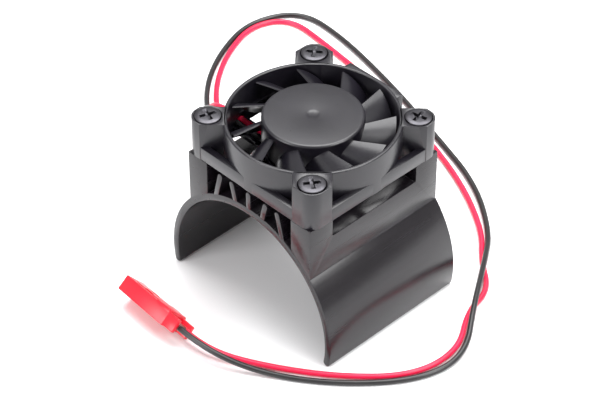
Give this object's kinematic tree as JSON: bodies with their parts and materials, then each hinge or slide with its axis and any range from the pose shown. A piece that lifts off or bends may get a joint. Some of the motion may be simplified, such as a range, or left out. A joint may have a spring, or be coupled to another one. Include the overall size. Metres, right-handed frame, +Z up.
{
  "type": "motor heat sink with cooling fan",
  "caption": "Finned clip-on heat sink for a cylindrical motor, topped by a small square axial fan with red and black leads ending in a two-pin plug.",
  "frame": {"origin": "on the floor under the fan axis, at the middle of the clip's length and width", "axes": "+Z up along the fan axis, +Y along the clamped motor's axis, +X across the motor; the leads leave the fan towards -X"},
  "size_m": [0.0914, 0.0807, 0.034],
  "materials": {
    "anodised_black": "satin black anodised aluminium",
    "fan_plastic": "satin moulded black plastic",
    "screw_steel": "black zinc plated steel",
    "steel": "bright zinc plated steel",
    "ferrite": "bonded ferrite",
    "shaft_steel": "ground steel",
    "nylon": "natural nylon",
    "bronze": "sintered bronze",
    "label_foil": "plain silver foil",
    "lamination_steel": "bare electrical steel",
    "bobbin_plastic": "ivory plastic",
    "copper": "enamelled copper wire",
    "board_green": "green solder mask",
    "chip_black": "moulded epoxy",
    "ceramic_tan": "tan ceramic",
    "solder": "bright solder",
    "red_insulation": "soft semi-gloss insulation",
    "black_insulation": "soft semi-gloss insulation",
    "plug_red": "moulded red nylon",
    "contact_metal": "tin plated brass"
  },
  "bodies": {
    "fixed": {"heat_sink": "anodised_black", "fan_frame": "fan_plastic", "fan_screws": "screw_steel", "bearing_sleeve": "bronze", "thrust_pad": "nylon", "base_label": "label_foil", "stator_core": "lamination_steel", "stator_bobbin_upper": "bobbin_plastic", "stator_bobbin_lower": "bobbin_plastic", "stator_coils": "copper", "circuit_board": "board_green", "driver_chip": "chip_black", "capacitor": "ceramic_tan", "solder_joints": "solder", "lead_red_inner": "red_insulation", "lead_black_inner": "black_insulation", "lead_red": "red_insulation", "lead_black": "black_insulation", "connector_housing": "plug_red", "connector_contacts": "contact_metal"},
    "rotor": {"impeller": "fan_plastic", "rotor_yoke": "steel", "magnet_ring": "ferrite", "rotor_shaft": "shaft_steel", "retaining_clip": "nylon"}
  },
  "joints": [
    {"name": "rotor_spin", "type": "hinge", "parent": "fixed", "child": "rotor", "pos_m": [0, 0, 0.03], "axis": [0, 0, 1], "continuous": true}
  ]
}
